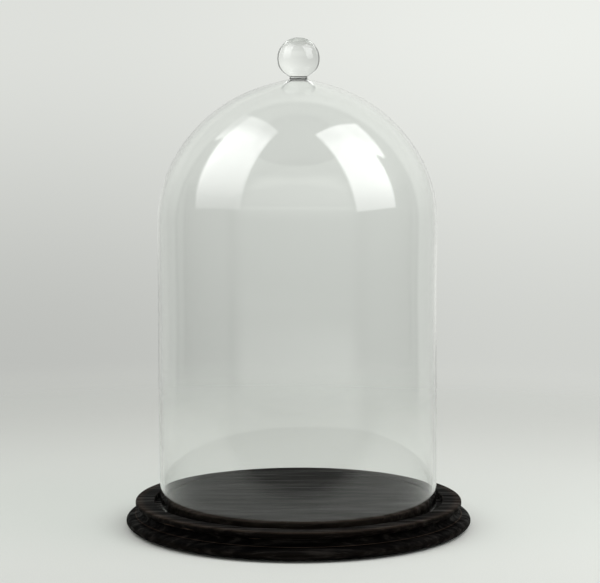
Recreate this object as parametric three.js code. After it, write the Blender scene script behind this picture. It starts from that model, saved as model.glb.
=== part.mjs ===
// Bell jar dome: a glass display dome with a ball knob, standing loosely in the
// groove of a turned wooden base. Millimetres, +Z up, origin at the centre of the
// surface that the base stands on.

import * as THREE from 'three';

// ---- glass dome ----
const GLASS_RADIUS = 125;            // outside of the cylinder
const GLASS_WALL = 3;
const GLASS_HEIGHT = 381;            // rim to the outside of the crown, without its swelling
const SHOULDER_EASE = 0.012;         // the crown is this much tighter than a half sphere at 45 degrees
const CROWN_RISE = 2.4;              // the crown swells up this much under the knob
const CROWN_RISE_SPREAD = 20;        // and the swelling dies away over this radius

// ---- knob ----
const BALL_RADIUS = 18.9;
const BALL_LIFT = 19.8;              // ball centre above the crown without its swelling
const BALL_ROUND_TO = -22;           // degrees from the ball's equator to where it starts to taper
const BALL_TAPER_IN = 2.6;           // how the taper bends on its way to the neck
const BALL_TAPER_DOWN = 5.2;
const NECK_RADIUS = 8.8;             // at the creases above and below the neck
const NECK_HOLLOW = 0.9;             // the neck is this much slimmer between its creases
const NECK_TOP = 4.4;                // upper crease, above the crown without its swelling

// ---- turned base ----
const PAD_THICKNESS = 1.2;
const PAD_RADIUS = 12;
const PAD_CIRCLE_RADIUS = 126;
const PAD_ANGLES = { front_right: -45, rear_right: 45, rear_left: 135, front_left: 225 };
const LIP_TOP = 24.2;
const LIP_RADIUS = 147.4;
const LIP_TOP_EDGE = 1.5;            // rounding of the lip's upper corner
const LIP_LOWER_EDGE = 3;            // rounding under the lip
const LIP_STRAIGHT = 1.2;            // upright part of the lip's edge
const COVE_STEP = 1;                 // fillet between the lip's underside and the cove
const COVE_FLOOR_RUN = 4.3;          // the cove leaves its lower edge nearly level,
const COVE_FLOOR_RISE = 0.4;
const COVE_WALL_RUN = 2.8;           // and hollows in again below its upper edge
const COVE_WALL_DROP = 1.6;
const QUIRK_RADIUS = 146.8;          // bottom of the V line between cove and foot moulding
const QUIRK_WIDTH = 0.8;
const FOOT_CENTRE_RADIUS = 147.8;    // centre of the rounded foot moulding
const FOOT_BULGE = 8;
const FOOT_HALF_HEIGHT = 5;
const GROOVE_FLOOR = 18.9;
const GROOVE_OUTER_RADIUS = 130.6;
const GROOVE_EDGE = 0.8;
const PLATEAU_TOP = 28;
const PLATEAU_RADIUS = 118.5;
const PLATEAU_ROUND_WIDTH = 12.5;    // wide shallow rounding at the plateau's edge
const PLATEAU_ROUND_DROP = 2.3;

const GAP = 0.3;                     // between pieces that are fused, or that rest on each other

// ---- facets: round the axis, and along the curves of the outlines ----
const LARGE_SEGMENTS = 64;
const SMALL_SEGMENTS = 40;
const PAD_SEGMENTS = 24;
const STEPS = {
  rim: 6,
  crown: 20,
  ball: 15,
  ballTaper: 4,
  neck: 6,
  foot: 12,
  cove: 8,
  lipUnder: 4,
  lipTop: 3,
  grooveEdge: 2,
  plateauRound: 6,
};

// ---- heights that follow from the sizes above ----
const rimZ = GROOVE_FLOOR + GAP;
const crownZ = rimZ + GLASS_HEIGHT;
const springZ = crownZ - GLASS_RADIUS;       // where the cylinder turns into the crown

const clearGlass = {
  color: 0xdfe8e4,
  roughness: 0.03,
  metalness: 0,
  transparent: true,
  opacity: 0.35,
};
const blackWood = { color: 0x17120f, roughness: 0.5, metalness: 0 };
const blackFelt = { color: 0x1d1d1f, roughness: 1, metalness: 0 };

const radians = THREE.MathUtils.degToRad;
const point = (radius, height) => new THREE.Vector2(radius, height);

// Points on an elliptical arc about (radius, height), from one angle to another in degrees.
function arc(radius, height, halfWidth, halfHeight, from, to, steps) {
  const points = [];
  for (let i = 0; i <= steps; i += 1) {
    const angle = radians(from + ((to - from) * i) / steps);
    points.push(point(radius + halfWidth * Math.cos(angle), height + halfHeight * Math.sin(angle)));
  }
  return points;
}

// A solid of revolution about Z, from an outline of (radius, height) points.
function turned(name, outline, segments, finish) {
  const geometry = new THREE.LatheGeometry(outline, segments);
  geometry.rotateX(Math.PI / 2);
  const mesh = new THREE.Mesh(geometry, new THREE.MeshStandardMaterial(finish));
  mesh.name = name;
  return mesh;
}

// Radius of the crown measured from its centre, at an angle above the horizontal.
function crownReach(angle, offset) {
  return GLASS_RADIUS * (1 - SHOULDER_EASE * Math.sin(2 * angle) ** 2) - offset;
}

// The crown's section from the spring line to the given radius near the axis.
function crownArc(offset, lastRadius) {
  const last = Math.acos(lastRadius / crownReach(Math.PI / 2, offset));
  const points = [];
  for (let i = 0; i <= STEPS.crown; i += 1) {
    const angle = (last * i) / STEPS.crown;
    const reach = crownReach(angle, offset);
    const radius = reach * Math.cos(angle);
    const swelling = CROWN_RISE * Math.exp(-((radius / CROWN_RISE_SPREAD) ** 2));
    points.push(point(radius, springZ + reach * Math.sin(angle) + swelling));
  }
  return points;
}

const outerCrown = crownArc(0, NECK_RADIUS);
const seatZ = outerCrown.at(-1).y;           // where the knob sits on the crown

// Cylinder, crown and fire-polished rim, open below.
function glassDome() {
  const wallMiddle = GLASS_RADIUS - GLASS_WALL / 2;
  const rimRound = GLASS_WALL / 2;
  const innerCrown = crownArc(GLASS_WALL, 0).reverse();
  const outline = [
    point(0, crownZ + CROWN_RISE - GLASS_WALL),
    ...innerCrown.slice(1),
    ...arc(wallMiddle, rimZ + rimRound, rimRound, rimRound, 180, 360, STEPS.rim),
    ...outerCrown,
    point(0, seatZ),
  ];
  return turned('glass_dome', outline, LARGE_SEGMENTS, clearGlass);
}

// Solid glass ball that tapers to a short hollowed neck.
function ballKnob() {
  const centreZ = crownZ + BALL_LIFT;
  const footZ = seatZ + GAP;
  const creaseZ = crownZ + NECK_TOP;
  const neckHalf = (creaseZ - footZ) / 2;
  const neck = arc(NECK_RADIUS, footZ + neckHalf, -NECK_HOLLOW, neckHalf, -90, 90, STEPS.neck);
  const round = arc(0, centreZ, BALL_RADIUS, BALL_RADIUS, BALL_ROUND_TO, 90, STEPS.ball);
  const start = round[0];
  const taper = new THREE.QuadraticBezierCurve(
    point(NECK_RADIUS, creaseZ),
    point(start.x - BALL_TAPER_IN, start.y - BALL_TAPER_DOWN),
    start,
  );
  const outline = [
    point(0, footZ),
    ...neck,
    ...taper.getPoints(STEPS.ballTaper).slice(1),
    ...round.slice(1, -1),
    point(0, centreZ + BALL_RADIUS),
  ];
  return turned('ball_knob', outline, SMALL_SEGMENTS, clearGlass);
}

// Turned wooden base: rounded foot, V line, cove, lip, groove for the glass, raised plateau.
function turnedBase() {
  const footZ = PAD_THICKNESS + FOOT_HALF_HEIGHT;
  const foot = arc(FOOT_CENTRE_RADIUS, footZ, FOOT_BULGE, FOOT_HALF_HEIGHT, -90, 90, STEPS.foot);
  const coveBottom = point(FOOT_CENTRE_RADIUS, footZ + FOOT_HALF_HEIGHT + QUIRK_WIDTH);
  const lipUnder = LIP_TOP - LIP_TOP_EDGE - LIP_STRAIGHT - LIP_LOWER_EDGE;
  const coveTop = point(LIP_RADIUS - LIP_LOWER_EDGE - COVE_STEP, lipUnder - COVE_STEP / 2);
  const cove = new THREE.CubicBezierCurve(
    coveBottom,
    point(coveBottom.x - COVE_FLOOR_RUN, coveBottom.y + COVE_FLOOR_RISE),
    point(coveTop.x - COVE_WALL_RUN, coveTop.y - COVE_WALL_DROP),
    coveTop,
  );
  const lowerEdge = LIP_LOWER_EDGE;
  const topEdge = LIP_TOP_EDGE;
  const lipEdge = [
    ...arc(LIP_RADIUS - lowerEdge, lipUnder + lowerEdge, lowerEdge, lowerEdge, -90, 0, STEPS.lipUnder),
    ...arc(LIP_RADIUS - topEdge, LIP_TOP - topEdge, topEdge, topEdge, 0, 90, STEPS.lipTop),
  ];
  const grooveEdgeRadius = GROOVE_OUTER_RADIUS + GROOVE_EDGE;
  const groove = [
    ...arc(grooveEdgeRadius, LIP_TOP - GROOVE_EDGE, GROOVE_EDGE, GROOVE_EDGE, 90, 180, STEPS.grooveEdge),
    point(GROOVE_OUTER_RADIUS, GROOVE_FLOOR),
    point(PLATEAU_RADIUS, GROOVE_FLOOR),
  ];
  const roundStart = PLATEAU_RADIUS - PLATEAU_ROUND_WIDTH;
  const roundBase = PLATEAU_TOP - PLATEAU_ROUND_DROP;
  const plateau = arc(
    roundStart,
    roundBase,
    PLATEAU_ROUND_WIDTH,
    PLATEAU_ROUND_DROP,
    0,
    90,
    STEPS.plateauRound,
  );
  const outline = [
    point(0, PAD_THICKNESS),
    ...foot,
    point(QUIRK_RADIUS, footZ + FOOT_HALF_HEIGHT + QUIRK_WIDTH / 2),
    ...cove.getPoints(STEPS.cove),
    ...lipEdge,
    ...groove,
    ...plateau,
    point(0, PLATEAU_TOP),
  ];
  return turned('turned_base', outline, LARGE_SEGMENTS, blackWood);
}

// Round felt pad glued under the foot.
function feltPad(name, angle) {
  const outline = [
    point(0, 0),
    point(PAD_RADIUS, 0),
    point(PAD_RADIUS, PAD_THICKNESS),
    point(0, PAD_THICKNESS),
  ];
  const pad = turned(name, outline, PAD_SEGMENTS, blackFelt);
  pad.position.set(
    PAD_CIRCLE_RADIUS * Math.cos(radians(angle)),
    PAD_CIRCLE_RADIUS * Math.sin(radians(angle)),
    0,
  );
  return pad;
}

const base = new THREE.Group();
base.add(turnedBase());
for (const [place, angle] of Object.entries(PAD_ANGLES)) {
  base.add(feltPad(`felt_pad_${place}`, angle));
}

const dome = new THREE.Group();
dome.add(glassDome(), ballKnob());

const bellJar = new THREE.Group();
bellJar.add(base, dome);

export default bellJar;
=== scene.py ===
"""Bell jar dome: the looks of a hand-blown glass dome on a turned, black-stained wooden base.

Metres, +Z up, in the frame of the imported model. The dome and its ball knob are two closed
pieces whose hidden meeting faces let light straight through, so that they read as the one
fused piece of glass that they are.
"""

import math

import bpy
import numpy as np
from mathutils import Matrix, Vector


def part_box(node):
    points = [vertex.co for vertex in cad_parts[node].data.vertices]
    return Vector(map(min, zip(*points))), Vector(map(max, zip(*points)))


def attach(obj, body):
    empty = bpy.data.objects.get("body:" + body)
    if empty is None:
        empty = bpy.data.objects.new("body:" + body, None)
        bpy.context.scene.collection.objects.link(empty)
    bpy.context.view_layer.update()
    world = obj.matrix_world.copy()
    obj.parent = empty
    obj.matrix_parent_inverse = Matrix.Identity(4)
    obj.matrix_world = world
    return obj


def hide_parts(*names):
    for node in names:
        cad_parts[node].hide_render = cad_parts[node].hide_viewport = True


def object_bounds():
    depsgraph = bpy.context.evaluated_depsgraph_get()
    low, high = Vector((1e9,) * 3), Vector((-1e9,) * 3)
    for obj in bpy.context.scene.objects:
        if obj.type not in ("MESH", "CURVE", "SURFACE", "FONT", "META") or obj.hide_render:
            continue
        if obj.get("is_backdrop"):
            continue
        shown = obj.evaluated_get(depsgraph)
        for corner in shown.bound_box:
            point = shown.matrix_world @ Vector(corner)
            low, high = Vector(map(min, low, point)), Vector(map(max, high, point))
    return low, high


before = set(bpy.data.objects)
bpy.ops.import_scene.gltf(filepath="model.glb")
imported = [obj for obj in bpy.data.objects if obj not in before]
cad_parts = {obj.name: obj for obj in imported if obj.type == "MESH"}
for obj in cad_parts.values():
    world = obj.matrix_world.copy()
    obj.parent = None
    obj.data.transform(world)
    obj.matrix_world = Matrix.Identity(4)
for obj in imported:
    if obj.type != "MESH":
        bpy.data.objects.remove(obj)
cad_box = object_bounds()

MM = 0.001

# ---- sizes read from the frame ----
glass_low, glass_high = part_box("glass_dome")
knob_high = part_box("ball_knob")[1]
base_low, base_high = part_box("turned_base")

GLASS_RADIUS = glass_high[0]
RIM_Z = glass_low[2]
CROWN_Z = RIM_Z + 381 * MM  # outside of the crown, without its swelling
GLASS_WALL = 3 * MM
SHOULDER_EASE = 0.012  # the crown is this much tighter than a half sphere at 45 degrees
SPRING_Z = CROWN_Z - GLASS_RADIUS  # where the cylinder turns into the crown
CROWN_RISE = 2.4 * MM  # the crown swells up this much under the knob
CROWN_RISE_SPREAD = 20 * MM  # and the swelling dies away over this radius

NECK_RADIUS = 8.8 * MM
NECK_WAIST = 0.9 * MM  # how far the neck hollows in between its two creases
NECK_TOP = CROWN_Z + 4.4 * MM  # the crease under the ball
SEAM = 0.01 * MM  # hairline between fused pieces

BALL_RADIUS = knob_high[0]
BALL_Z = knob_high[2] - BALL_RADIUS
BALL_ROUND_TO = -22  # degrees from the ball's equator to where it starts to taper
BALL_TAPER = (2.6 * MM, 5.2 * MM)  # how the taper bends, inwards and down

FOOT_RADIUS = 147.8 * MM  # centre of the rounded foot moulding
FOOT_HALF_HEIGHT = 5 * MM
QUIRK_WIDTH = 0.8 * MM  # the V line between foot and cove
QUIRK_DEPTH = 1 * MM
COVE_STEP = (1 * MM, 0.5 * MM)  # fillet between the cove and the lip's underside
COVE_FLOOR = (4.3 * MM, 0.4 * MM)  # how the cove leaves its lower edge, inwards and up
COVE_WALL = (2.8 * MM, 1.6 * MM)  # and its upper edge, inwards and down
LIP_TOP = 24.2 * MM
LIP_RADIUS = 147.4 * MM
LIP_THICKNESS = 5.7 * MM
LIP_LOWER_EDGE = 3 * MM
LIP_UPPER_EDGE = 1.5 * MM
GROOVE_RADIUS = 130.6 * MM
GROOVE_FLOOR = 18.9 * MM
GROOVE_EDGE = 0.8 * MM
GROOVE_CORNER = 0.5 * MM
PLATEAU_RADIUS = 118.5 * MM
PLATEAU_ROUND = (12.5 * MM, 2.3 * MM)  # width and drop of its rounded edge
PAD_EDGE = 0.35 * MM  # rounding of the felt's cut edge

# ---- steps round the axis ----
GLASS_STEPS = 224
WOOD_STEPS = 288
PAD_STEPS = 64

# ---- material values ----
GLASS_TINT = (0.982, 0.992, 0.984, 1)
GLASS_SHADOW = (0.93, 0.95, 0.94, 1)
GLASS_IOR = 1.5
GLASS_FILM = 0.018  # roughness where the film of dust is thickest
STAIN_DEEP = (0.0006, 0.0006, 0.0007, 1)
STAIN_STREAK = (0.0024, 0.0021, 0.0019, 1)
STAIN_CLOUD = (0.0036, 0.0026, 0.002, 1)
STAIN_PORE = (0.0006, 0.0006, 0.0006, 1)
# colour of the painted glints along the grain
GLINT_FIBRE_COLOUR = (0.02, 0.0175, 0.016, 1)
# brown of the painted sheen and wear on the turned edges and rim tops
SHEEN_AND_WEAR_BROWN = (0.07, 0.05, 0.038, 1)
WOOD_IOR = 1.065  # low, because the dull stain mirrors very little
RINGS_PER_METRE = 200.0
FELT_DARK = (0.006, 0.006, 0.007, 1)
FELT_LIGHT = (0.05, 0.05, 0.053, 1)
FLOOR_DARK = (0.71, 0.72, 0.695, 1)
FLOOR_LIGHT = (0.75, 0.76, 0.735, 1)

# ---- studio ----
WORLD_TINT = (1.0, 1.02, 0.975, 1)
BACKDROP_LEVEL = 0.572  # as the camera sees it, before it brightens up and down
DIFFUSE_LEVEL = 0.42  # what the surroundings give to matt surfaces
FLOOR_SIZE = 1.6  # metres from the centre to each side
FLOOR_FADE = (0.35, 1.15)  # from the centre, where the floor melts into the backdrop
FLOOR_CUT = (-0.29, -0.47)  # and where it ends in front in reflections
CAMERA_PLACE = (0.00136, -1.835, 0.4018)
CAMERA_TILT = 5.9  # degrees below level
CAMERA_LENS = 123.2
CAMERA_SENSOR = 36

# centre, the directions along and up, and the size of each softbox
LEFT_BOX = ((-0.545, -0.10, 0.765), (-0.33, 0.51, -0.04), (0.36, 0.40, 0.70), (0.61, 0.88))
RIGHT_BOX = ((0.595, -0.17, 0.733), (0.48, 0.42, 0.03), (-0.35, 0.31, 0.64), (0.64, 0.79))
LEFT_FACE = (-0.2, 1.15, 1.18)
RIGHT_FACE = (-0.08, 1.1, 1.32)
LEFT_SHAPE = {
    "left": (0.08, 0.06),
    "right": (1.13, 0.96),
    "top": (1.16, 1.03),
    "shade": (0.15, 0.65, 0.4),
    "flap": (-0.2, 0.9, 0.74, 0.45),
}
RIGHT_SHAPE = {
    "left": (0.02, -0.04),
    "right": (1.06, 0.66),
    "top": (1.1, 1.3),
    "shade": (0.38, 0.5, 0.7),
    "flap": (0.1, 1.08, 0.68, 0.85),
}
# the keys stand a little behind the softboxes, because lamps in one plane hide each other
KEY_LEFT_PLACE = (-0.60, -0.11, 0.84)
KEY_RIGHT_PLACE = (0.65, -0.19, 0.80)


# ---------------------------------------------------------------- mesh helpers


def arc(radius, height, half_width, half_height, start, end, steps):
    """Points (radius, height) on an elliptical arc, angles in degrees."""
    angles = np.radians(np.linspace(start, end, steps + 1))
    return [
        (radius + half_width * math.cos(a), height + half_height * math.sin(a))
        for a in angles
    ]


def line(first, last, steps):
    """Points from first up to but not including last."""
    first, last = np.array(first), np.array(last)
    return [tuple(first + (last - first) * i / steps) for i in range(steps)]


def bezier(a, b, c, d, steps):
    """Points on a cubic curve."""
    a, b, c, d = (np.array(p) for p in (a, b, c, d))
    out = []
    for t in np.linspace(0, 1, steps + 1):
        s = 1 - t
        out.append(tuple(s**3 * a + 3 * s * s * t * b + 3 * s * t * t * c + t**3 * d))
    return out


def revolve(name, outline, steps, deform=None, seam=None, crease=None):
    """A closed solid of revolution about Z.

    outline is (radius, height) points. It starts and ends on the axis, or it is a loop.
    deform moves a point (x, y, z, index). seam(index) is True for the outline's stretches
    that meet another fused piece, which take the second material slot.
    """
    loop = outline[0][0] > 1e-6
    verts, rings = [], []
    for index, (radius, height) in enumerate(outline):
        if radius < 1e-6:
            rings.append([len(verts)])
            verts.append((0.0, 0.0, height))
            continue
        ring = []
        for k in range(steps):
            angle = 2 * math.pi * k / steps
            place = (radius * math.cos(angle), radius * math.sin(angle), height)
            ring.append(len(verts))
            verts.append(deform(*place, index) if deform else place)
        rings.append(ring)
    faces, slots = [], []
    count = len(rings)
    for i in range(count if loop else count - 1):
        low, high = rings[i], rings[(i + 1) % count]
        slot = 1 if seam and seam(i) else 0
        for k in range(steps):
            n = (k + 1) % steps
            if len(low) == 1:
                face = (low[0], high[n], high[k])
            elif len(high) == 1:
                face = (low[k], low[n], high[0])
            else:
                face = (low[k], low[n], high[n], high[k])
            faces.append(face)
            slots.append(slot)
    mesh = bpy.data.meshes.new(name)
    mesh.from_pydata(verts, [], faces)
    mesh.polygons.foreach_set("material_index", slots)
    mesh.polygons.foreach_set("use_smooth", [True] * len(faces))
    mesh.update()
    if crease:
        mesh.set_sharp_from_angle(angle=math.radians(crease))
    obj = bpy.data.objects.new(name, mesh)
    bpy.context.scene.collection.objects.link(obj)
    return obj


# ---------------------------------------------------------------- node helpers


def new_material(name):
    material = bpy.data.materials.new(name)
    material.use_nodes = True
    material.node_tree.nodes.clear()
    return material


class Nodes:
    """Short calls for building one node tree."""

    def __init__(self, tree):
        self.tree = tree

    def add(self, kind, inputs=None, **settings):
        node = self.tree.nodes.new(kind)
        for key, value in settings.items():
            setattr(node, key, value)
        for key, value in (inputs or {}).items():
            if isinstance(value, bpy.types.NodeSocket):
                self.tree.links.new(value, node.inputs[key])
            else:
                node.inputs[key].default_value = value
        return node

    def math(self, operation, first, second=0.0, third=0.0):
        node = self.add("ShaderNodeMath", {0: first, 1: second, 2: third}, operation=operation)
        return node.outputs[0]

    def ramp(self, value, low, high, to_low=0.0, to_high=1.0, smooth=True):
        kind = "SMOOTHSTEP" if smooth else "LINEAR"
        inputs = {"Value": value, 1: low, 2: high, 3: to_low, 4: to_high}
        node = self.add("ShaderNodeMapRange", inputs, interpolation_type=kind)
        return node.outputs["Result"]

    def noise(self, vector, scale, detail=2.0, roughness=0.5, distortion=0.0):
        inputs = {
            "Vector": vector,
            "Scale": scale,
            "Detail": detail,
            "Roughness": roughness,
            "Distortion": distortion,
        }
        return self.add("ShaderNodeTexNoise", inputs).outputs["Fac"]

    def stretched(self, vector, scale, location=(0, 0, 0)):
        inputs = {"Vector": vector, "Scale": scale, "Location": location}
        return self.add("ShaderNodeMapping", inputs).outputs["Vector"]

    def mix(self, factor, first, second, blend="MIX"):
        node = self.add("ShaderNodeMix", {0: factor}, data_type="RGBA", blend_type=blend)
        for socket, value in ((node.inputs[6], first), (node.inputs[7], second)):
            if isinstance(value, bpy.types.NodeSocket):
                self.tree.links.new(value, socket)
            else:
                socket.default_value = value
        return node.outputs[2]

    def place(self):
        return self.add("ShaderNodeTexCoord").outputs["Object"]


# ---------------------------------------------------------------- materials


def clear_glass():
    """Hand-blown glass: slow ripples, a faint film of dust, and lamps shine through it."""
    material = new_material("clear_glass")
    n = Nodes(material.node_tree)
    place = n.place()
    slow = n.noise(n.stretched(place, (9, 9, 3)), 1.0, 1.0)
    film = n.noise(place, 30, 3.0, 0.6)
    bump = n.add("ShaderNodeBump", {"Height": slow, "Strength": 0.05, "Distance": 0.0012})
    glass = n.add(
        "ShaderNodeBsdfPrincipled",
        {
            "Base Color": GLASS_TINT,
            "Roughness": n.ramp(film, 0.35, 0.8, 0.0, GLASS_FILM),
            "IOR": GLASS_IOR,
            "Transmission Weight": 1.0,
            "Normal": bump.outputs["Normal"],
        },
    )
    through = n.add("ShaderNodeBsdfTransparent", {"Color": GLASS_SHADOW})
    path = n.add("ShaderNodeLightPath")
    lamp = n.math("MAXIMUM", path.outputs["Is Shadow Ray"], path.outputs["Is Diffuse Ray"])
    both = n.add("ShaderNodeMixShader", {0: lamp, 1: glass.outputs[0], 2: through.outputs[0]})
    n.add("ShaderNodeOutputMaterial", {"Surface": both.outputs[0]})
    return material


def fused_seam():
    """Where two fused pieces of glass meet there is no surface for light to bend at."""
    material = new_material("fused_seam")
    n = Nodes(material.node_tree)
    clear = n.add("ShaderNodeBsdfTransparent", {"Color": (1, 1, 1, 1)})
    n.add("ShaderNodeOutputMaterial", {"Surface": clear.outputs[0]})
    return material


def black_wood():
    """Open-grain hardwood, grain along X, stained nearly black, with a dull satin finish; a
    painted sheen in brown lies on the turned edges and painted glints along the grain.
    """
    material = new_material("black_wood")
    n = Nodes(material.node_tree)
    place = n.place()
    wander = n.noise(n.stretched(place, (5, 30, 30)), 1.0, 3.0, 0.55)
    # growth rings: shells about a line along X, below the board
    parts = n.add("ShaderNodeSeparateXYZ", {"Vector": place})
    across = n.math("ADD", parts.outputs["Y"], 0.04)
    deep = n.math("ADD", parts.outputs["Z"], 0.09)
    squares = n.math("ADD", n.math("MULTIPLY", across, across), n.math("MULTIPLY", deep, deep))
    reach = n.math("SQRT", squares)
    reach = n.math("ADD", reach, n.math("MULTIPLY", wander, 0.016))
    turn = n.math("FRACT", n.math("MULTIPLY", reach, RINGS_PER_METRE))
    early = n.ramp(turn, 0.0, 0.6, 1.0, 0.0)
    # pores: short dashes along the grain, crowded into the early wood
    pore = n.noise(n.stretched(place, (45, 900, 900)), 1.0, 2.0, 0.6)
    pore = n.ramp(pore, 0.5, 0.64)
    pore = n.math("MULTIPLY", pore, n.math("MULTIPLY_ADD", early, 0.7, 0.3))
    fibre = n.noise(n.stretched(place, (12, 170, 170)), 1.0, 4.0, 0.6)
    streak = n.ramp(fibre, 0.38, 0.62)
    cloud = n.noise(n.stretched(place, (7, 18, 18)), 1.0, 2.0)

    # painted glints: bright fibres in the colour stand in for the streaky sheen of the grain,
    # and partly are fibres that took less stain
    fibre_glint = n.noise(n.stretched(place, (14, 210, 210), (0.3, 0.1, 0.2)), 1.0, 4.0, 0.65)
    fibre_glint = n.math("MULTIPLY", n.ramp(fibre_glint, 0.48, 0.66), n.ramp(fibre, 0.4, 0.6, 0.3, 1.0))
    stain = n.mix(streak, STAIN_DEEP, STAIN_STREAK)
    stain = n.mix(n.ramp(cloud, 0.45, 0.75, 0.0, 0.6), stain, STAIN_CLOUD)
    stain = n.mix(n.math("MULTIPLY", fibre_glint, 0.8), stain, GLINT_FIBRE_COLOUR)
    stain = n.mix(n.math("MULTIPLY", pore, 0.8), stain, STAIN_PORE)
    # painted sheen and wear: brown is painted on the tops of the lip and plateau rims and on
    # sharp turned edges, partly stain worn thin there and partly standing in for the sheen these
    # edges catch
    edge = n.add("ShaderNodeNewGeometry").outputs["Pointiness"]
    round_axis = n.stretched(place, (1, 1, 0))
    radius = n.add("ShaderNodeVectorMath", {0: round_axis}, operation="LENGTH").outputs["Value"]

    def ring(inside, full, fading, outside):
        return n.math("MULTIPLY", n.ramp(radius, inside, full), n.ramp(radius, outside, fading))

    lip_edge = ring(0.138, 0.1445, 0.1466, 0.1478)
    plateau_edge = ring(0.111, 0.1165, 0.1181, 0.1189)
    sheen_and_wear_mask = n.math("MAXIMUM", lip_edge, plateau_edge)
    # kept to the upper faces, where the painted sheen lies
    sheen_and_wear_mask = n.math("MULTIPLY", sheen_and_wear_mask, n.ramp(parts.outputs["Z"], 0.0205, 0.0235, 0.0, 0.34))
    sheen_and_wear_mask = n.math("MAXIMUM", sheen_and_wear_mask, n.ramp(edge, 0.505, 0.55))
    sheen_and_wear = n.math("MULTIPLY", sheen_and_wear_mask, n.ramp(fibre, 0.3, 0.6, 0.35, 1.0))
    stain = n.mix(n.math("MULTIPLY", sheen_and_wear, 0.85), stain, SHEEN_AND_WEAR_BROWN)

    height = n.math("MULTIPLY", pore, -0.8)
    height = n.math("ADD", height, n.math("MULTIPLY", streak, 0.5))
    height = n.math("ADD", height, n.math("MULTIPLY", early, -0.5))
    bump = n.add("ShaderNodeBump", {"Height": height, "Strength": 0.6, "Distance": 0.0004})
    rough = n.math("MULTIPLY_ADD", streak, -0.26, 0.68)
    rough = n.math("ADD", rough, n.math("MULTIPLY", early, 0.1))
    rough = n.math("ADD", rough, n.math("MULTIPLY", pore, 0.2))
    wood = n.add(
        "ShaderNodeBsdfPrincipled",
        {
            "Base Color": stain,
            "Roughness": rough,
            "IOR": WOOD_IOR,
            "Normal": bump.outputs["Normal"],
        },
    )
    n.add("ShaderNodeOutputMaterial", {"Surface": wood.outputs[0]})
    return material


def black_felt():
    """Pressed wool felt."""
    material = new_material("black_felt")
    n = Nodes(material.node_tree)
    place = n.place()
    fuzz = n.noise(place, 2600, 3.0, 0.7)
    clump = n.noise(place, 420, 3.0, 0.6)
    colour = n.mix(n.math("MULTIPLY", fuzz, clump), FELT_DARK, FELT_LIGHT)
    bump = n.add("ShaderNodeBump", {"Height": fuzz, "Strength": 0.9, "Distance": 0.0003})
    felt = n.add(
        "ShaderNodeBsdfPrincipled",
        {
            "Base Color": colour,
            "Roughness": n.ramp(clump, 0.2, 0.8, 0.85, 1.0),
            "Sheen Weight": 0.4,
            "Sheen Roughness": 0.5,
            "Normal": bump.outputs["Normal"],
        },
    )
    n.add("ShaderNodeOutputMaterial", {"Surface": felt.outputs[0]})
    return material


# ---------------------------------------------------------------- glass pieces


def crown_point(angle, offset, rise=0.0):
    """A point of the crown's section, at an angle above the horizontal."""
    reach = GLASS_RADIUS * (1 - SHOULDER_EASE * math.sin(2 * angle) ** 2) - offset
    radius = reach * math.cos(angle)
    swelling = rise * math.exp(-((radius / CROWN_RISE_SPREAD) ** 2))
    return radius, SPRING_Z + reach * math.sin(angle) + swelling


def knob_seat(gap):
    """The outer crown under the knob, from the neck's edge to the axis."""
    edge = math.acos(NECK_RADIUS / GLASS_RADIUS)
    seat = [crown_point(a, 0, CROWN_RISE) for a in np.linspace(edge, math.pi / 2, 13)]
    return [(radius, height + gap) for radius, height in seat[:-1]] + [(0.0, seat[-1][1] + gap)]


def blown(x, y, z, sway):
    """How hand blowing leaves the glass: a slight lean, a waist and slow waves in the wall."""
    share = min(1.0, max(0.0, (z - RIM_Z) / (CROWN_Z - RIM_Z)))
    fade = math.sin(math.pi * share)
    angle = math.atan2(y, x)
    waist = -0.5 * MM * math.sin(2 * math.pi * share) * (1 if share > 0.5 else -1)
    wave = 0.22 * MM * math.sin(2 * angle + 9 * share + sway)
    wave += 0.12 * MM * math.sin(3 * angle - 14 * share + 2 * sway)
    wave += 0.02 * MM * math.sin(7 * angle + 23 * share + 2 * sway)
    grow = 1 + fade * (wave + waist * 0.6) / GLASS_RADIUS
    lean = -1.2 * MM * fade
    return x * grow + lean, y * grow, z


def glass_dome(glass, seam_glass):
    """Cylinder, closed crown and fire-polished rim."""
    middle = GLASS_RADIUS - GLASS_WALL / 2
    half = GLASS_WALL / 2
    rim = arc(middle, RIM_Z + half, half, half, 180, 360, 16)
    seat = knob_seat(0.0)
    neck_angle = math.acos(NECK_RADIUS / GLASS_RADIUS)
    outer_crown = [crown_point(a, 0, CROWN_RISE) for a in np.linspace(0, neck_angle, 120)[:-1]]
    inner_angles = np.linspace(math.pi / 2, 0, 120)[1:]
    inner_crown = [crown_point(a, GLASS_WALL, CROWN_RISE) for a in inner_angles]
    wall_out = line(rim[-1], outer_crown[0], 60)
    wall_in = line(inner_crown[-1], rim[0], 60)
    inside = [(0.0, CROWN_Z + CROWN_RISE - GLASS_WALL), *inner_crown, *wall_in[1:]]
    outside = [*rim[:-1], *wall_out, *outer_crown]
    outline = inside + outside + seat
    first_seat = len(inside) + len(outside)

    def deform(x, y, z, index):
        return blown(x, y, z, 0.25 if index < len(inside) else 0.0)

    piece = revolve("blown_dome", outline, GLASS_STEPS, deform, lambda i: i >= first_seat)
    piece.data.materials.append(glass)
    piece.data.materials.append(seam_glass)
    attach(piece, "dome")
    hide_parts("glass_dome")


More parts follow.
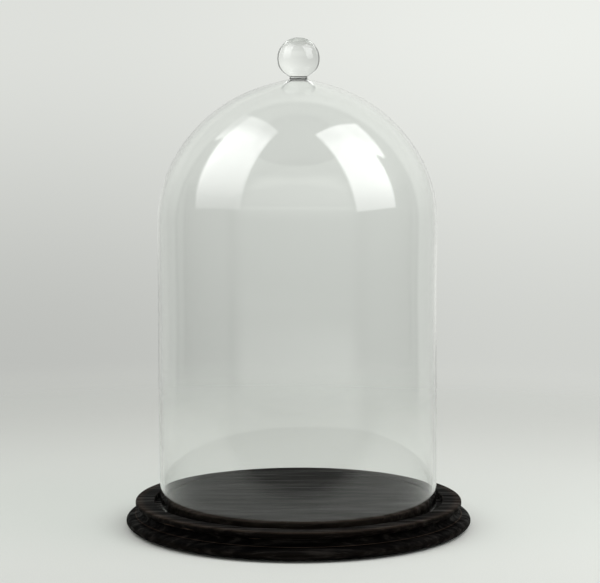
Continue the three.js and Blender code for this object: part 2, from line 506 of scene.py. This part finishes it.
def ball_knob(glass, seam_glass):
    """Solid ball whose lower part tapers to a short hollowed neck on the crown."""
    seat = knob_seat(SEAM)[::-1]
    foot = seat[-1][1]
    half = (NECK_TOP - foot) / 2
    neck = arc(NECK_RADIUS, foot + half, -NECK_WAIST, half, -90, 90, 20)
    sphere = arc(0, BALL_Z, BALL_RADIUS, BALL_RADIUS, BALL_ROUND_TO, 90, 70)
    start = np.array(sphere[0])
    bend = start - np.array(BALL_TAPER)
    top = np.array([NECK_RADIUS, NECK_TOP])
    taper = bezier(top, top + (bend - top) * 2 / 3, start + (bend - start) * 2 / 3, start, 24)
    outline = [*seat, *neck[1:], *taper[1:], *sphere[1:-1], (0.0, BALL_Z + BALL_RADIUS)]
    last_seat = len(seat) - 2
    piece = revolve("knob_glass", outline, GLASS_STEPS, None, lambda i: i <= last_seat, 40)
    piece.data.materials.append(glass)
    piece.data.materials.append(seam_glass)
    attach(piece, "dome")
    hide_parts("ball_knob")


# ---------------------------------------------------------------- wooden base


def turned_base(wood):
    """Rounded foot, V line, cove, lip, groove for the glass and raised plateau."""
    low = base_low[2]
    top = base_high[2]
    foot_z = low + FOOT_HALF_HEIGHT
    foot_bulge = base_high[0] - FOOT_RADIUS
    foot = arc(FOOT_RADIUS, foot_z, foot_bulge, FOOT_HALF_HEIGHT, -90, 90, 40)
    cove_low = (FOOT_RADIUS, foot_z + FOOT_HALF_HEIGHT + QUIRK_WIDTH)
    lower, upper = LIP_LOWER_EDGE, LIP_UPPER_EDGE
    lip_under = LIP_TOP - LIP_THICKNESS
    cove_high = (LIP_RADIUS - lower - COVE_STEP[0], lip_under - COVE_STEP[1])
    cove = bezier(
        cove_low,
        (cove_low[0] - COVE_FLOOR[0], cove_low[1] + COVE_FLOOR[1]),
        (cove_high[0] - COVE_WALL[0], cove_high[1] - COVE_WALL[1]),
        cove_high,
        24,
    )
    lip = [
        *arc(LIP_RADIUS - lower, lip_under + lower, lower, lower, -90, 0, 14),
        *arc(LIP_RADIUS - upper, LIP_TOP - upper, upper, upper, 0, 90, 12),
    ]
    edge, corner = GROOVE_EDGE, GROOVE_CORNER
    corner_z = GROOVE_FLOOR + corner
    groove = [
        *line(lip[-1], (GROOVE_RADIUS + edge, LIP_TOP), 6)[1:],
        *arc(GROOVE_RADIUS + edge, LIP_TOP - edge, edge, edge, 90, 180, 8),
        *arc(GROOVE_RADIUS - corner, corner_z, corner, -corner, 0, 90, 6),
        *arc(PLATEAU_RADIUS + corner, corner_z, corner, -corner, 90, 180, 6),
    ]
    width, drop = PLATEAU_ROUND
    plateau = arc(PLATEAU_RADIUS - width, top - drop, width, drop, 0, 90, 30)
    centre = line(plateau[-1], (0.0, top), 12)[1:]
    underside = line((0.0, low), foot[0], 10)
    notch = (FOOT_RADIUS - QUIRK_DEPTH, foot_z + FOOT_HALF_HEIGHT + QUIRK_WIDTH / 2)
    outline = [*underside, *foot, notch, *cove, *lip, *groove, *plateau, *centre, (0.0, top)]
    piece = revolve("ebonised_base", outline, WOOD_STEPS, None, None, 50)
    piece.data.materials.append(wood)
    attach(piece, "base")
    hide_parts("turned_base")


def felt_pads(felt):
    """Thick felt discs with a soft cut edge, one for each pad under the foot."""
    for node in sorted(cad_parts):
        if not node.startswith("felt_pad_"):
            continue
        low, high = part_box(node)
        centre = ((low[0] + high[0]) / 2, (low[1] + high[1]) / 2)
        radius, height = (high[0] - low[0]) / 2, high[2] - low[2]
        soft = PAD_EDGE
        flat = [(radius * share / 8, 0.0) for share in range(1, 8)]
        outline = [
            (0.0, 0.0),
            *flat,
            *arc(radius - soft, soft, soft, soft, -90, 0, 5),
            *arc(radius - soft, height - soft / 2, soft, soft / 2, 0, 90, 5),
            (0.0, height),
        ]

        def fuzzy(x, y, z, index, top=height):
            angle = math.atan2(y, x)
            ripple = 0.12 * MM * math.sin(11 * angle) + 0.08 * MM * math.sin(23 * angle + 1)
            grow = 1 + ripple * (0 if z in (0.0, top) else 1) / math.hypot(x, y)
            return x * grow + centre[0], y * grow + centre[1], z

        piece = revolve(f"{node}_felt", outline, PAD_STEPS, fuzzy, None, 60)
        # the points on the axis follow the pad too
        for vertex in piece.data.vertices:
            if math.hypot(vertex.co.x, vertex.co.y) < 1e-9:
                vertex.co.x, vertex.co.y = centre
        piece.data.materials.append(felt)
        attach(piece, "base")
        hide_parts(node)


# ---------------------------------------------------------------- studio


def studio_world():
    """Surroundings that look different to each kind of ray.

    The camera sees a pale backdrop. Reflections show a wide pale sweep behind the object, dim
    walls at the sides, a grey room in front and a ceiling. Solid glass bends another sweep
    into view, and matt surfaces get one even level.
    """
    world = bpy.data.worlds.new("studio")
    world.use_nodes = True
    world.node_tree.nodes.clear()
    bpy.context.scene.world = world
    n = Nodes(world.node_tree)
    way = n.add("ShaderNodeTexCoord").outputs["Generated"]
    parts = n.add("ShaderNodeSeparateXYZ", {"Vector": way})
    x, y, z = (parts.outputs[i] for i in range(3))

    upper = n.ramp(z, -0.14, 0.03, 0.0, 0.215)
    lower = n.ramp(z, -0.145, -0.23, 0.0, 0.13)
    side = n.ramp(x, -0.15, 0.15, -0.06, 0.06)
    seen = n.math("ADD", n.math("ADD", BACKDROP_LEVEL, upper), n.math("ADD", lower, side))

    path = n.add("ShaderNodeLightPath")
    glossy = n.math("GREATER_THAN", path.outputs["Glossy Depth"], 0.5)
    behind = n.ramp(y, 0.40, 0.52)
    higher = n.ramp(z, -0.05, 0.25, 1.0, 1.25)
    # in a reflection the backdrop is palest straight behind and dims to the sides
    wings = n.math("MULTIPLY", n.ramp(x, -0.3, 0.3, 0.5, 0.55), higher)
    aside = n.ramp(n.math("ABSOLUTE", x), 0.2, 0.62)
    straight = n.math("MULTIPLY", seen, n.ramp(z, -0.08, 0.08, 1.18, 0.95))
    sweep = n.math("MULTIPLY", n.math("SUBTRACT", 1.0, aside), straight)
    sweep = n.math("ADD", sweep, n.math("MULTIPLY", aside, wings))
    # and through solid glass it brightens towards the right
    inverted = n.ramp(x, -0.5, 0.5, 0.65, 0.85)
    inverted = n.math("MULTIPLY", inverted, n.ramp(z, -0.1, 0.3, 0.93, 1.03))
    sweep = n.math("MULTIPLY", sweep, glossy)
    inverted = n.math("MULTIPLY", inverted, n.math("SUBTRACT", 1.0, glossy))
    sweep = n.math("MULTIPLY", behind, n.math("ADD", sweep, inverted))
    in_front = n.ramp(y, -0.45, -0.75)
    room = n.ramp(z, -0.19, -0.155, 0.09, 0.58)
    room = n.math("SUBTRACT", room, n.ramp(z, -0.145, -0.1, 0.0, 0.31))
    room = n.math("MULTIPLY", in_front, room)
    walls = n.math("SUBTRACT", n.ramp(x, -0.5, 0.5, 0.28, 0.13), n.math("ADD", behind, in_front))
    walls = n.math("MULTIPLY", n.math("MAXIMUM", walls, 0.0), glossy)
    ceiling = n.math("MULTIPLY", n.ramp(z, 0.05, 0.4), n.ramp(z, 0.72, 0.62))
    ceiling = n.math("MULTIPLY", ceiling, n.math("MULTIPLY", n.ramp(y, -0.5, -0.7), 0.7))
    around = n.math("ADD", n.math("ADD", sweep, room), walls)
    mirrored = n.math("ADD", around, n.math("ADD", ceiling, 0.03))

    # two surfaces crossed is a path bent by solid glass; the dome's two walls make four
    bent = n.math("COMPARE", path.outputs["Transmission Depth"], 2.5, 1.0)
    glossy = n.math("MAXIMUM", glossy, bent)

    def switched(off, on, switch):
        """off where switch is 0, on where it is 1."""
        kept = n.math("MULTIPLY", off, n.math("SUBTRACT", 1.0, switch))
        return n.math("ADD", kept, n.math("MULTIPLY", on, switch))

    level = switched(seen, mirrored, glossy)
    level = switched(level, DIFFUSE_LEVEL, path.outputs["Is Diffuse Ray"])
    back = n.add("ShaderNodeBackground", {"Color": WORLD_TINT, "Strength": level})
    n.add("ShaderNodeOutputWorld", {"Surface": back.outputs[0]})


def pale_floor():
    """A pale table top that fades into the backdrop, and ends in front in reflections."""
    size = FLOOR_SIZE
    mesh = bpy.data.meshes.new("floor")
    corners = [(-size, -size, 0), (size, -size, 0), (size, size, 0), (-size, size, 0)]
    mesh.from_pydata(corners, [], [(0, 1, 2, 3)])
    floor = bpy.data.objects.new("floor", mesh)
    bpy.context.scene.collection.objects.link(floor)
    material = new_material("pale_floor")
    n = Nodes(material.node_tree)
    place = n.place()
    away = n.add("ShaderNodeVectorMath", {0: place}, operation="LENGTH").outputs["Value"]
    grain = n.noise(place, 900, 2.0)
    colour = n.mix(n.ramp(grain, 0.3, 0.7), FLOOR_DARK, FLOOR_LIGHT)
    matt = n.add("ShaderNodeBsdfDiffuse", {"Color": colour})
    clear = n.add("ShaderNodeBsdfTransparent")
    shown = n.ramp(away, *FLOOR_FADE, 1.0, 0.0)
    depth = n.add("ShaderNodeSeparateXYZ", {"Vector": place}).outputs["Y"]
    path = n.add("ShaderNodeLightPath")
    glossy = n.math("GREATER_THAN", path.outputs["Glossy Depth"], 0.5)
    cut = n.math("MULTIPLY", glossy, n.ramp(depth, *FLOOR_CUT))
    shown = n.math("MULTIPLY", shown, n.math("SUBTRACT", 1.0, cut))
    both = n.add("ShaderNodeMixShader", {0: shown, 1: clear.outputs[0], 2: matt.outputs[0]})
    n.add("ShaderNodeOutputMaterial", {"Surface": both.outputs[0]})
    floor.data.materials.append(material)
    floor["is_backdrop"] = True


def shaped_glow(light, face, shape):
    """Shade a softbox's face. Across runs 0 to 1 between its sides and up runs 0 to 1.

    face is the lamp's rectangle (first across, last across, last up). shape holds the left
    and right sides (across at the bottom and at the top), the top edge (up at the left and
    at the right), the brightness (at the bottom, where it is full, at the top) and an
    outer flap (across from, across to, up from, brightness).
    """
    light.use_nodes = True
    light.node_tree.nodes.clear()
    n = Nodes(light.node_tree)
    spot = n.add("ShaderNodeNewGeometry").outputs["Parametric"]
    parts = n.add("ShaderNodeSeparateXYZ", {"Vector": spot})
    across = n.math("MULTIPLY_ADD", parts.outputs["X"], face[1] - face[0], face[0])
    up = n.math("MULTIPLY", parts.outputs["Y"], face[2])

    def slanted(along, first, last):
        return n.math("MULTIPLY_ADD", along, last - first, first)

    left = n.ramp(n.math("SUBTRACT", across, slanted(up, *shape["left"])), 0.0, 0.06)
    right = n.ramp(n.math("SUBTRACT", slanted(up, *shape["right"]), across), 0.0, 0.06)
    top = n.ramp(n.math("SUBTRACT", slanted(across, *shape["top"]), up), 0.0, 0.03)
    low, full, high = shape["shade"]
    shade = n.math("MULTIPLY", n.ramp(up, -0.1, full, low, 1.0), n.ramp(up, 0.0, 0.04))
    shade = n.math("MULTIPLY", shade, n.ramp(up, 0.75, 1.0, 1.0, high))
    core = n.math("MULTIPLY", left, right)
    first, last, start, strength = shape["flap"]
    soft = 0.03
    flap = n.ramp(across, first, first + soft)
    flap = n.math("MULTIPLY", flap, n.ramp(across, last, last - soft))
    flap = n.math("MULTIPLY", flap, n.ramp(up, start, start + soft, 0.0, strength))
    level = n.math("MULTIPLY", n.math("MAXIMUM", core, flap), n.math("MULTIPLY", shade, top))
    glow = n.add("ShaderNodeEmission", {"Strength": level})
    n.add("ShaderNodeOutputLight", {"Surface": glow.outputs[0]})


def softbox(name, centre, along, up, size, radiance, face=(0.0, 1.0, 1.0), shape=None):
    """A softbox whose sides run along two directions.

    One with a shape shows in glass and gloss only; a plain one lights matt surfaces only.
    """
    mirrored = shape is not None
    width, height = size[0] * (face[1] - face[0]), size[1] * face[2]
    light = bpy.data.lights.new(name, "AREA")
    light.shape = "RECTANGLE"
    light.size, light.size_y = width, height
    light.energy = radiance * math.pi * width * height
    if mirrored:
        shaped_glow(light, face, shape)
    lamp = bpy.data.objects.new(name, light)
    bpy.context.scene.collection.objects.link(lamp)
    side = Vector(along).normalized()
    rise = Vector(up)
    rise = (rise - side * rise.dot(side)).normalized()
    facing = side.cross(rise)
    towards = Vector((0, 0, 0.2)) - Vector(centre)
    if facing.dot(towards) > 0:
        side, facing = -side, -facing
    turn = Matrix((side, rise, facing)).transposed().to_4x4()
    middle = Vector(centre) + side * size[0] * ((face[0] + face[1]) / 2 - 0.5)
    middle += rise * size[1] * (face[2] / 2 - 0.5)
    lamp.matrix_world = Matrix.Translation(middle) @ turn
    lamp.visible_camera = False
    lamp.visible_diffuse = not mirrored
    lamp.visible_glossy = mirrored
    lamp.visible_transmission = mirrored


def studio():
    """Surroundings, floor, lamps and the camera at the photograph's angle."""
    studio_world()
    pale_floor()
    softbox("softbox_left", *LEFT_BOX, 3.75, LEFT_FACE, LEFT_SHAPE)
    softbox("softbox_right", *RIGHT_BOX, 4.3, RIGHT_FACE, RIGHT_SHAPE)
    softbox("key_left", KEY_LEFT_PLACE, *LEFT_BOX[1:], 2.25)
    softbox("key_right", KEY_RIGHT_PLACE, *RIGHT_BOX[1:], 3.9)
    camera = bpy.data.cameras.new("camera")
    camera.sensor_width = CAMERA_SENSOR
    camera.lens = CAMERA_LENS
    eye = bpy.data.objects.new("camera", camera)
    bpy.context.scene.collection.objects.link(eye)
    eye.location = CAMERA_PLACE
    eye.rotation_euler = (math.radians(90 - CAMERA_TILT), 0, 0)
    bpy.context.scene.camera = eye
    bpy.context.scene.view_settings.view_transform = "Standard"


studio()
glass = clear_glass()
seam_glass = fused_seam()
glass_dome(glass, seam_glass)
ball_knob(glass, seam_glass)
turned_base(black_wood())
felt_pads(black_felt())

boxes = {"cad": cad_box, "visual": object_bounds()}
{k: [[float(c) for c in corner] for corner in v] for k, v in boxes.items()}
